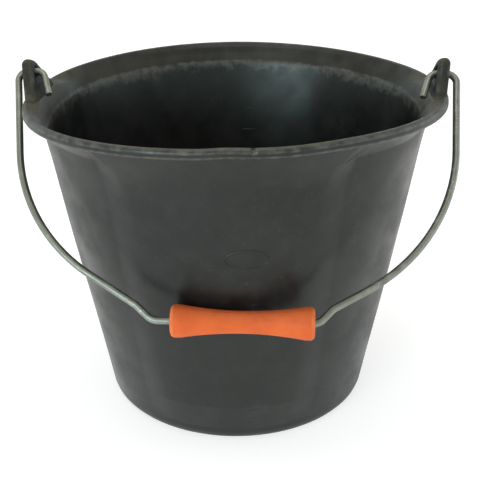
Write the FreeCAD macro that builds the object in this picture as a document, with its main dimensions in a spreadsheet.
import FreeCAD, Part
import math
import os
import re
import Sketcher

# A builder's bucket: one moulded black plastic tub with two lugs on its rim, a bent steel wire
# bail that swings in the lugs, and a moulded orange grip that turns on the wire.
#
# Frame: the origin is on the ground at the centre of the tub's foot, +Z is up, +X runs through
# the right lug, and -Y is the front, where the bail rests against the wall. Millimetres.

doc = FreeCAD.newDocument("builders_bucket")

SIZES = (
    # alias, value, what it is
    ("rim_height", 256.0, "top of the lip above the ground"),
    ("rim_radius", 164.0, "outside of the lip"),
    ("lip_height", 7.0, "depth of the lip's outer face"),
    ("lip_inner_radius", 160.0, "where the lip's top meets the collar"),
    ("lip_round", 3.0, "rounding of the lip's outer top edge"),
    ("lip_break", 1.5, "rounding of the lip's inner top edge"),
    ("collar_depth", 16.0, "how far the flared collar reaches below the lip's top"),
    ("collar_skin", 2.0, "how much lower the collar starts outside than inside"),
    ("collar_round", 3.0, "rounding where wall and collar meet"),
    ("wall_top_radius", 149.9, "outside of the wall where the collar starts"),
    ("wall_foot_radius", 108.4, "outside of the wall, run on down to the ground"),
    ("wall_thickness", 2.8, "thickness of the wall"),
    ("foot_round", 9.0, "rounding between wall and foot"),
    ("foot_ring_radius", 96.0, "inside of the ring that the tub stands on"),
    ("foot_recess", 3.0, "how far the floor is lifted inside that ring"),
    ("floor_thickness", 3.2, "thickness of the floor"),
    ("floor_round", 6.5, "rounding between floor and wall, inside"),
    ("panel_step", 2.5, "how far the front and back panels stand out"),
    ("panel_angle", 60.0, "width of a panel round the tub, in degrees"),
    ("panel_foot", 14.0, "lowest edge of a panel"),
    ("panel_slope", 6.0, "height over which a panel rises from the wall"),
    ("panel_apron", 28.0, "how far below the lip's top the apron under the lip starts"),
    ("ear_half_width", 29.0, "half the width of a lug at its foot"),
    ("ear_shoulder", 252.0, "height where a lug's sides start to lean together"),
    ("ear_corner", 283.0, "height where those sides would meet"),
    ("ear_round", 9.0, "rounding of a lug's top"),
    ("ear_inner_foot", 149.0, "inner face of a lug at its foot"),
    ("ear_outer_foot", 159.7, "outer face of a lug at its foot"),
    ("ear_inner_tip", 156.8, "inner face of a lug at its top"),
    ("ear_outer_tip", 165.5, "outer face of a lug at its top"),
    ("pivot_height", 267.5, "height of the bail's axis"),
    ("pivot_hole", 7.8, "diameter of the holes in the lugs"),
    ("wire_diameter", 5.4, "diameter of the bail's wire"),
    ("bail_drop", 200.5, "from the bail's axis to the grip's axis"),
    ("bail_lean", 0.042, "how far the bail hangs to the right for each millimetre of drop"),
    ("bail_rest_angle", 45.3, "angle of the resting bail from straight down, in degrees"),
    ("hook_end", 144.2, "end of a hooked tip, from the middle"),
    ("hook_drop", 20.5, "length of a hooked tip below the axis"),
    ("hook_corner", 150.6, "corner of a hooked tip, from the middle"),
    ("hook_round", 7.0, "bend of a hooked tip"),
    ("arm_corner", 170.4, "corner where an arm leaves the axis, from the middle"),
    ("arm_round", 8.0, "bend of that corner"),
    ("bow_corner_right", 156.9, "right corner of the bow, from the middle"),
    ("bow_corner_left", 157.7, "left corner of the bow, from the middle"),
    ("bow_drop_right", 139.2, "drop of the bow's right corner"),
    ("bow_drop_left", 134.0, "drop of the bow's left corner"),
    ("bow_round", 136.0, "bend of the bow"),
    ("shoulder_outer_right", 67.9, "outer corner of the shoulder right of the grip"),
    ("shoulder_outer_left", 71.3, "outer corner of the shoulder left of the grip"),
    ("shoulder_rise", 11.0, "height of the shoulders"),
    ("shoulder_inner_right", 57.3, "inner corner of the right shoulder"),
    ("shoulder_inner_left", 59.6, "inner corner of the left shoulder"),
    ("shoulder_outer_round", 6.0, "bend of the outer corners"),
    ("shoulder_round", 11.0, "bend of the inner corners"),
    ("grip_length", 100.8, "length of the grip"),
    ("grip_end_diameter", 23.4, "diameter of the grip's ends"),
    ("grip_waist_diameter", 16.0, "diameter of the grip's waist"),
    ("grip_end_land", 7.0, "length of each end before the waist begins"),
    ("grip_bore", 6.2, "diameter of the grip's bore"),
    ("grip_round", 3.2, "rounding of the grip's ends"),
    ("grip_slide", 4.2, "how far the grip has slid along the wire"),
)

sheet = doc.addObject("Spreadsheet::Sheet", "sizes")
for row, (alias, size, meaning) in enumerate(SIZES, start=1):
    sheet.set("A%d" % row, alias)
    sheet.set("B%d" % row, str(size))
    sheet.setAlias("B%d" % row, alias)
    sheet.set("C%d" % row, meaning)
doc.recompute()

# The sketcher's own axes: their lines, and the point where they cross.
HORIZONTAL = -1
VERTICAL = -2
START = 1
END = 2
CENTRE = 3


def in_sheet(formula):
    """The formula with sizes.* in front of each alias, as an expression wants it."""
    aliases = {alias for alias, size, meaning in SIZES}

    def prefixed(found):
        word = found.group()
        return "sizes." + word if word in aliases else word

    return re.sub("[a-z_]+", prefixed, formula)


def number(formula):
    """What a formula comes to now, for the first shape of a sketch."""
    return float(sheet.evalExpression(in_sheet(formula)))


def new_body(label):
    body = doc.addObject("PartDesign::Body", label)
    body.Label = label
    return body


def sketch_on(body, role, name, lift=None):
    """A sketch on one of the body's own origin planes, lifted off it along its normal."""
    plane = next(item for item in body.Origin.OriginFeatures if item.Role == role)
    sketch = body.newObject("Sketcher::SketchObject", name)
    sketch.AttachmentSupport = (plane, [""])
    sketch.MapMode = "FlatFace"
    if lift:
        sketch.setExpression("AttachmentOffset.Base.z", in_sheet(lift))
    return sketch


def bind(sketch, constraint, formula):
    """Add a dimension to the sketch and tie it to the sheet."""
    index = sketch.addConstraint(constraint)
    sketch.setExpression("Constraints[%d]" % index, in_sheet(formula))


def pin_point(sketch, item, end, across, up):
    """Fix one point of a sketch at (across, up), both formulas."""
    for kind, formula, axis in (("DistanceX", across, VERTICAL), ("DistanceY", up, HORIZONTAL)):
        if formula == "0":
            sketch.addConstraint(Sketcher.Constraint("PointOnObject", item, end, axis))
        else:
            size = number(formula)
            bind(sketch, Sketcher.Constraint(kind, HORIZONTAL, START, item, end, size), formula)


def draw_outline(sketch, corners, closed=True):
    """Straight runs through the corners (across, up, round), with an arc in each rounded corner.

    Each entry is a formula; the third is the arc's radius, or None for a sharp corner.
    """
    points = [FreeCAD.Vector(number(across), number(up), 0) for across, up, round_ in corners]
    count = len(points)
    arrives = list(points)
    leaves = list(points)
    for i, (across, up, round_) in enumerate(corners):
        if round_:
            back = (points[i - 1] - points[i]).normalize()
            ahead = (points[(i + 1) % count] - points[i]).normalize()
            half_turn = (math.pi - back.getAngle(ahead)) / 2
            setback = number(round_) * math.tan(half_turn)
            arrives[i] = points[i] + back * setback
            leaves[i] = points[i] + ahead * setback
    runs = []
    for i in range(count if closed else count - 1):
        runs.append(sketch.addGeometry(Part.LineSegment(leaves[i], arrives[(i + 1) % count])))
    for i, (across, up, round_) in enumerate(corners):
        first = not closed and i == 0
        last = not closed and i == count - 1
        if first or last:
            pin_point(sketch, runs[0 if first else -1], START if first else END, across, up)
            continue
        before, after = runs[i - 1], runs[i]
        if not round_:
            sketch.addConstraint(Sketcher.Constraint("Coincident", before, END, after, START))
            pin_point(sketch, after, START, across, up)
            continue
        back = (points[i - 1] - points[i]).normalize()
        ahead = (points[(i + 1) % count] - points[i]).normalize()
        half_angle = back.getAngle(ahead) / 2
        radius = number(round_)
        centre = points[i] + (back + ahead).normalize() * (radius / math.sin(half_angle))
        spokes = [arrives[i] - centre, leaves[i] - centre]
        angles = [math.atan2(spoke.y, spoke.x) for spoke in spokes]
        turns_left = back.cross(ahead).z < 0
        if not turns_left:
            angles.reverse()
        circle = Part.Circle(centre, FreeCAD.Vector(0, 0, 1), radius)
        arc = sketch.addGeometry(Part.ArcOfCircle(circle, angles[0], angles[1]))
        entry, leave = (START, END) if turns_left else (END, START)
        sketch.addConstraint(Sketcher.Constraint("Tangent", before, END, arc, entry))
        sketch.addConstraint(Sketcher.Constraint("Tangent", arc, leave, after, START))
        bind(sketch, Sketcher.Constraint("Radius", arc, radius), round_)
        corner = sketch.addGeometry(Part.Point(points[i]), True)
        sketch.addConstraint(Sketcher.Constraint("PointOnObject", corner, START, before))
        sketch.addConstraint(Sketcher.Constraint("PointOnObject", corner, START, after))
        pin_point(sketch, corner, START, across, up)


def draw_circle(sketch, across, up, diameter):
    centre = FreeCAD.Vector(number(across), number(up), 0)
    radius = number(diameter) / 2
    ring = sketch.addGeometry(Part.Circle(centre, FreeCAD.Vector(0, 0, 1), radius))
    bind(sketch, Sketcher.Constraint("Radius", ring, radius), diameter + " / 2")
    pin_point(sketch, ring, CENTRE, across, up)


def revolve(body, kind, name, sketch, axis, angle=None):
    """Turn a sketch round one of its axes: all the way, or angle degrees centred on it."""
    feature = body.newObject(kind, name)
    feature.Profile = sketch
    feature.ReferenceAxis = (sketch, [axis])
    feature.Angle = 360
    if angle:
        feature.Midplane = True
        feature.setExpression("Angle", in_sheet(angle))
    return feature


def mirror(body, name, features, role):
    plane = next(item for item in body.Origin.OriginFeatures if item.Role == role)
    copy = body.newObject("PartDesign::Mirrored", name)
    copy.Originals = features
    copy.MirrorPlane = (plane, [""])
    body.Tip = copy
    return copy


# ---- the tub ---------------------------------------------------------------------------------
# Floor, wall, flared collar and lip are one turned shape. The lugs are plates that lean outwards
# with the collar and stand on it. Front and back, a wide panel of the wall stands a little
# further out, and runs out under the lip as an apron.

crease_height = "rim_height - collar_depth"
collar_start = "(rim_height - collar_depth - collar_skin)"
wall_slope = "(wall_top_radius - wall_foot_radius) / " + collar_start
floor_top = "(foot_recess + floor_thickness)"
lip_underside = "rim_height - lip_height"


def outside_at(height, out="0"):
    """Formula for the wall's outside radius at a height, moved out by a distance."""
    return "wall_foot_radius + " + wall_slope + " * (" + height + ") + " + out


def inside_at(height, out="0"):
    return outside_at(height, out) + " - wall_thickness"


def build_tub():
    body = new_body("bucket")

    ear_section = sketch_on(body, "XZ_Plane", "ear_section")
    draw_outline(ear_section, [
        ("ear_inner_foot", "ear_shoulder - 11.5", None),
        ("ear_outer_foot", "ear_shoulder - 0.5", None),
        ("ear_outer_tip", "ear_corner + 2", None),
        ("ear_inner_tip", "ear_corner + 2", None),
    ])
    ear = body.newObject("PartDesign::Pad", "ear")
    ear.Profile = ear_section
    ear.SideType = "Symmetric"
    ear.setExpression("Length", in_sheet("2 * ear_half_width"))

    ear_outline = sketch_on(body, "YZ_Plane", "ear_outline")
    draw_outline(ear_outline, [
        ("ear_half_width + 5", "ear_shoulder - 20", None),
        ("ear_half_width + 5", "ear_corner + 10", None),
        ("-ear_half_width - 5", "ear_corner + 10", None),
        ("-ear_half_width - 5", "ear_shoulder - 20", None),
    ])
    draw_outline(ear_outline, [
        ("ear_half_width", "ear_shoulder - 16", None),
        ("ear_half_width", "ear_shoulder", None),
        ("0", "ear_corner", "ear_round"),
        ("-ear_half_width", "ear_shoulder", None),
        ("-ear_half_width", "ear_shoulder - 16", None),
    ])
    ear_trim = body.newObject("PartDesign::Pocket", "ear_trim")
    ear_trim.Profile = ear_outline
    ear_trim.Type = "ThroughAll"
    ear_trim.SideType = "Symmetric"
    mirror(body, "ears", [ear, ear_trim], "YZ_Plane")

    tub_section = sketch_on(body, "XZ_Plane", "tub_section")
    collar_run = "(lip_inner_radius - wall_top_radius + wall_thickness)"
    draw_outline(tub_section, [
        ("0", "foot_recess", None),
        ("foot_ring_radius", "foot_recess", None),
        ("foot_ring_radius + 2", "0", None),
        ("wall_foot_radius", "0", "foot_round"),
        ("wall_top_radius", collar_start, "collar_round"),
        ("wall_top_radius + " + collar_run + " * (collar_depth + collar_skin - lip_height)"
         " / collar_depth", lip_underside, None),
        ("rim_radius", lip_underside, None),
        ("rim_radius", "rim_height", "lip_round"),
        ("lip_inner_radius", "rim_height", "lip_break"),
        (inside_at(crease_height), crease_height, "collar_round"),
        (inside_at(floor_top), floor_top, "floor_round"),
        ("0", floor_top, None),
    ])
    revolve(body, "PartDesign::Revolution", "tub", tub_section, "V_Axis")

    apron = "(rim_height - panel_apron)"
    panel_full = "(panel_foot + panel_slope)"
    panel_section = sketch_on(body, "YZ_Plane", "panel_section")
    draw_outline(panel_section, [
        (outside_at("panel_foot", "-1"), "panel_foot", None),
        (outside_at("panel_foot"), "panel_foot", None),
        (outside_at(panel_full, "panel_step"), panel_full, None),
        (outside_at(apron, "panel_step"), apron, None),
        ("rim_radius - panel_step", lip_underside + " + 0.4", None),
        ("lip_inner_radius - 3", lip_underside + " + 0.4", None),
        ("wall_top_radius - 1", crease_height + " - 1", None),
    ])
    panel = revolve(body, "PartDesign::Revolution", "panel", panel_section, "V_Axis", "panel_angle")

    hollow_top = "(rim_height - collar_depth - panel_slope)"
    hollow_section = sketch_on(body, "YZ_Plane", "hollow_section")
    draw_outline(hollow_section, [
        (inside_at(panel_full, "-1"), panel_full, None),
        (inside_at(panel_full), panel_full, None),
        (inside_at(panel_full + " + panel_slope", "panel_step"), panel_full + " + panel_slope", None),
        (inside_at(hollow_top + " - panel_slope", "panel_step"), hollow_top + " - panel_slope", None),
        (inside_at(hollow_top), hollow_top, None),
        (inside_at(hollow_top, "-1"), hollow_top, None),
    ])
    hollow = revolve(body, "PartDesign::Groove", "hollow", hollow_section, "V_Axis", "panel_angle")
    mirror(body, "panels", [panel, hollow], "XZ_Plane")

    hole_ring = sketch_on(body, "YZ_Plane", "hole_ring")
    draw_circle(hole_ring, "0", "pivot_height", "pivot_hole")
    holes = body.newObject("PartDesign::Pocket", "pivot_holes")
    holes.Profile = hole_ring
    holes.Type = "ThroughAll"
    holes.SideType = "Symmetric"
    return body


# ---- the bail --------------------------------------------------------------------------------
# One length of wire. It is drawn hanging straight down from its axis, then turned up about that
# axis until the grip rests on the front wall. Each half runs from the middle of the grip, over a
# small shoulder that keeps the grip in place, round the bow and up the arm, through the lug, and
# down again in a short hooked tip that can't pull out. It was bent by hand, so the two halves
# are not quite alike.

def leaning(side, across, drop):
    """Formula for a point's distance across: the whole bail hangs a little to the right."""
    return side + across + " + bail_lean * (" + drop + ")"


def build_bail():
    body = new_body("bail_wire")
    section = sketch_on(body, "YZ_Plane", "wire_section", "bail_lean * bail_drop")
    draw_circle(section, "0", "-bail_drop", "wire_diameter")
    for hand, side in (("right", ""), ("left", "-")):
        path = sketch_on(body, "XZ_Plane", hand + "_path")
        bend_list = (
            ("shoulder_inner_" + hand, "bail_drop", "shoulder_round"),
            ("shoulder_outer_" + hand, "(bail_drop - shoulder_rise)", "shoulder_outer_round"),
            ("bow_corner_" + hand, "bow_drop_" + hand, "bow_round"),
            ("arm_corner", "0", "arm_round"),
            ("hook_corner", "0", "hook_round"),
        )
        corners = [("bail_lean * bail_drop", "-bail_drop", None)]
        for across, drop, bend in bend_list:
            height = "0" if drop == "0" else "-" + drop
            corners.append((leaning(side, across, drop), height, bend))
        corners.append((side + "hook_end", "-hook_drop", None))
        draw_outline(path, corners, closed=False)
        half = body.newObject("PartDesign::AdditivePipe", hand + "_half")
        half.Profile = section
        half.Spine = path
        body.Tip = half
    turn_up(body)
    body.setExpression("Placement.Base.z", in_sheet("pivot_height"))
    return body


def turn_up(body):
    """Turn a body about the X axis from hanging straight down to its resting place."""
    body.Placement = FreeCAD.Placement(
        FreeCAD.Vector(0, 0, 0),
        FreeCAD.Rotation(FreeCAD.Vector(-1, 0, 0), number("bail_rest_angle")))
    body.setExpression("Placement.Rotation.Angle", in_sheet("bail_rest_angle * 1deg"))


# ---- the grip --------------------------------------------------------------------------------
# A turned sleeve, waisted so that it sits in the hand, loose on the wire.

def build_grip():
    body = new_body("grip")
    sleeve_section = sketch_on(body, "XZ_Plane", "sleeve_section")
    draw_outline(sleeve_section, [
        ("-grip_length / 2", "grip_bore / 2", None),
        ("grip_length / 2", "grip_bore / 2", None),
        ("grip_length / 2", "grip_end_diameter / 2", "grip_round"),
        ("-grip_length / 2", "grip_end_diameter / 2", "grip_round"),
    ])
    revolve(body, "PartDesign::Revolution", "sleeve", sleeve_section, "H_Axis")

    # The waist is a shallow arc between the two ends, cut out all round.
    rise = "(grip_end_diameter - grip_waist_diameter) / 2"
    reach = "(grip_length / 2 - grip_end_land)"
    sweep = "((" + reach + " ^ 2 + (" + rise + ") ^ 2) / (2 * (" + rise + ")))"
    waist_section = sketch_on(body, "XZ_Plane", "waist_section")
    radius = number(sweep)
    centre = FreeCAD.Vector(0, number("grip_waist_diameter / 2") + radius, 0)
    top = number("grip_end_diameter / 2") + 1
    half_chord = math.sqrt(radius ** 2 - (centre.y - top) ** 2)
    half_angle = math.asin(half_chord / radius)
    down = -math.pi / 2
    circle = Part.Circle(centre, FreeCAD.Vector(0, 0, 1), radius)
    bow = Part.ArcOfCircle(circle, down - half_angle, down + half_angle)
    arc = waist_section.addGeometry(bow)
    left = FreeCAD.Vector(-half_chord, top, 0)
    right = FreeCAD.Vector(half_chord, top, 0)
    chord = waist_section.addGeometry(Part.LineSegment(left, right))
    waist_section.addConstraint(Sketcher.Constraint("Coincident", arc, START, chord, START))
    waist_section.addConstraint(Sketcher.Constraint("Coincident", arc, END, chord, END))
    waist_section.addConstraint(Sketcher.Constraint("Horizontal", chord))
    bind(waist_section, Sketcher.Constraint("Radius", arc, radius), sweep)
    pin_point(waist_section, arc, CENTRE, "0", "grip_waist_diameter / 2 + " + sweep)
    bind(waist_section, Sketcher.Constraint("DistanceY", HORIZONTAL, START, chord, START, top),
         "grip_end_diameter / 2 + 1")
    revolve(body, "PartDesign::Groove", "waist", waist_section, "H_Axis")

    turn_up(body)
    body.setExpression("Placement.Base.x", in_sheet("bail_lean * bail_drop + grip_slide"))
    body.setExpression("Placement.Base.y", in_sheet("-bail_drop * sin(bail_rest_angle * 1deg )"))
    body.setExpression(
        "Placement.Base.z", in_sheet("pivot_height - bail_drop * cos(bail_rest_angle * 1deg )"))
    return body


bodies = [build_tub(), build_bail(), build_grip()]
doc.recompute()

# ---- check and write -------------------------------------------------------------------------

for item in doc.Objects:
    if "Invalid" in item.State or "Error" in item.State:
        raise RuntimeError("%s failed: %s" % (item.Name, item.State))

os.makedirs("parts", exist_ok=True)
for body in bodies:
    shape = body.Shape
    if shape.isNull() or not shape.isValid() or len(shape.Solids) != 1:
        raise RuntimeError("%s is not one valid solid" % body.Label)
    shape.exportStep("parts/%s.step" % body.Label)
    box = shape.optimalBoundingBox(False)
    print("%-10s %9.0f mm3  X %.1f..%.1f  Y %.1f..%.1f  Z %.1f..%.1f" % (
        body.Label, shape.Volume, box.XMin, box.XMax, box.YMin, box.YMax, box.ZMin, box.ZMax))
